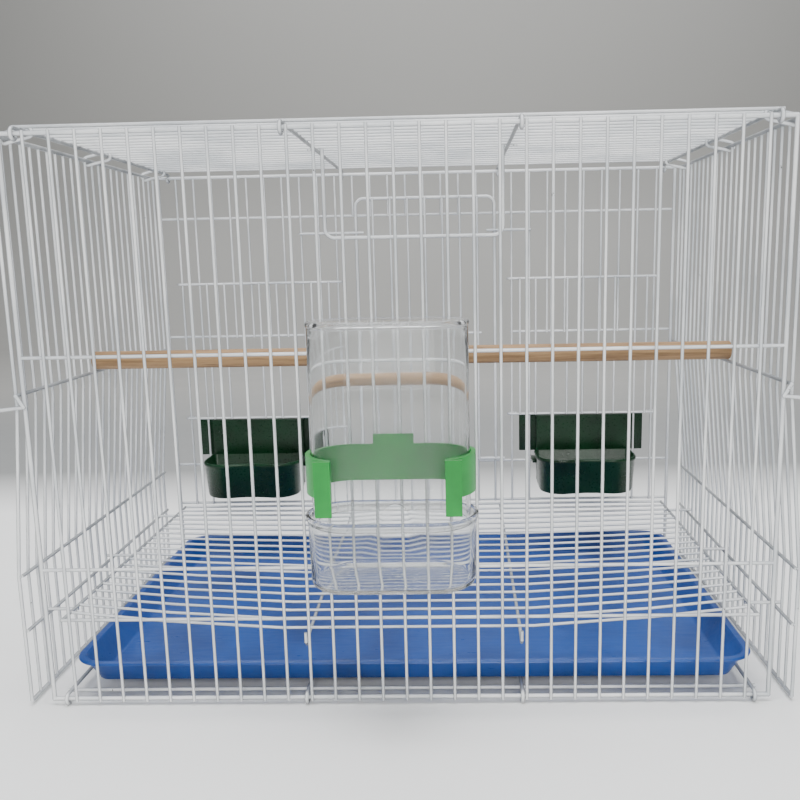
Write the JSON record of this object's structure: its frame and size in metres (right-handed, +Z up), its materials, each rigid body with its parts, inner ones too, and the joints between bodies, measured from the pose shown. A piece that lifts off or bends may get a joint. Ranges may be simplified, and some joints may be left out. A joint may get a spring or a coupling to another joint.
{
  "type": "wire bird cage",
  "caption": "Rectangular wire bird cage with swinging side panels, lifting doors, pull-out tray, lift-out floor grid, perch, feed cups and a clip-on clear hopper.",
  "frame": {"origin": "middle of the base plane the cage stands on, between the front and door panels", "axes": "+Z up, +X along the width, -Y towards the plain front panel that carries the hopper, +Y towards the door panel"},
  "size_m": [0.4862, 0.3307, 0.3576],
  "materials": {
    "coated_wire": "gloss white coating over steel wire",
    "tray_plastic": "satin blue moulded plastic",
    "perch_wood": "plain light dowel",
    "cup_plastic": "glossy dark green moulded plastic",
    "clip_plastic": "glossy bright green moulded plastic",
    "clear_plastic": "clear moulded plastic"
  },
  "bodies": {
    "cage": {"bottom_frame": "coated_wire", "front_panel": "coated_wire", "door_border": "coated_wire", "left_door_mesh": "coated_wire", "centre_door_mesh": "coated_wire", "right_door_mesh": "coated_wire", "door_sill": "coated_wire", "door_posts": "coated_wire", "door_guides": "coated_wire", "top_panel": "coated_wire", "left_hinge_links": "coated_wire", "right_hinge_links": "coated_wire", "hopper_clip": "clip_plastic"},
    "left_side": {"left_side_panel": "coated_wire", "left_latch_bar": "coated_wire"},
    "right_side": {"right_side_panel": "coated_wire", "right_latch_bar": "coated_wire"},
    "main_door": {"main_door": "coated_wire"},
    "left_feed_door": {"left_feed_door": "coated_wire"},
    "right_feed_door": {"right_feed_door": "coated_wire"},
    "tray": {"tray": "tray_plastic"},
    "floor_grid": {"floor_grid": "coated_wire"},
    "perch": {"perch": "perch_wood"},
    "carry_handle": {"carry_handle": "coated_wire"},
    "left_cup": {"left_cup": "cup_plastic"},
    "right_cup": {"right_cup": "cup_plastic"},
    "hopper_bottle": {"hopper_bottle": "clear_plastic"},
    "hopper_base": {"hopper_base": "clear_plastic"}
  },
  "joints": [
    {"name": "left_side_swing", "type": "hinge", "parent": "cage", "child": "left_side", "pos_m": [-0.22975, 0, 0.35], "axis": [0, 1, 0], "range_deg": [0, 95]},
    {"name": "right_side_swing", "type": "hinge", "parent": "cage", "child": "right_side", "pos_m": [0.22975, 0, 0.35], "axis": [0, -1, 0], "range_deg": [0, 95]},
    {"name": "main_door_lift", "type": "slide", "parent": "cage", "child": "main_door", "axis": [0, 0, 1], "range_m": [0, 0.11]},
    {"name": "left_feed_door_lift", "type": "slide", "parent": "cage", "child": "left_feed_door", "axis": [0, 0, 1], "range_m": [0, 0.038]},
    {"name": "right_feed_door_lift", "type": "slide", "parent": "cage", "child": "right_feed_door", "axis": [0, 0, 1], "range_m": [0, 0.038]},
    {"name": "tray_pull", "type": "slide", "parent": "cage", "child": "tray", "axis": [0, 1, 0], "range_m": [0, 0.24]},
    {"name": "floor_grid_lift", "type": "slide", "parent": "cage", "child": "floor_grid", "axis": [0, 0, 1], "range_m": [0, 0.016]},
    {"name": "perch_lift", "type": "slide", "parent": "cage", "child": "perch", "axis": [0, 0, 1], "range_m": [0, 0.03]},
    {"name": "handle_lift", "type": "slide", "parent": "cage", "child": "carry_handle", "axis": [0, 0, 1], "range_m": [0, 0.07]},
    {"name": "left_cup_pull", "type": "slide", "parent": "cage", "child": "left_cup", "axis": [0, 1, 0], "range_m": [0, 0.06]},
    {"name": "right_cup_pull", "type": "slide", "parent": "cage", "child": "right_cup", "axis": [0, 1, 0], "range_m": [0, 0.06]},
    {"name": "hopper_slide", "type": "slide", "parent": "cage", "child": "hopper_bottle", "axis": [0, 0, -1], "range_m": [0, 0.055]},
    {"name": "hopper_base_pull", "type": "slide", "parent": "hopper_bottle", "child": "hopper_base", "axis": [0, 0, -1], "range_m": [0, 0.02]}
  ]
}
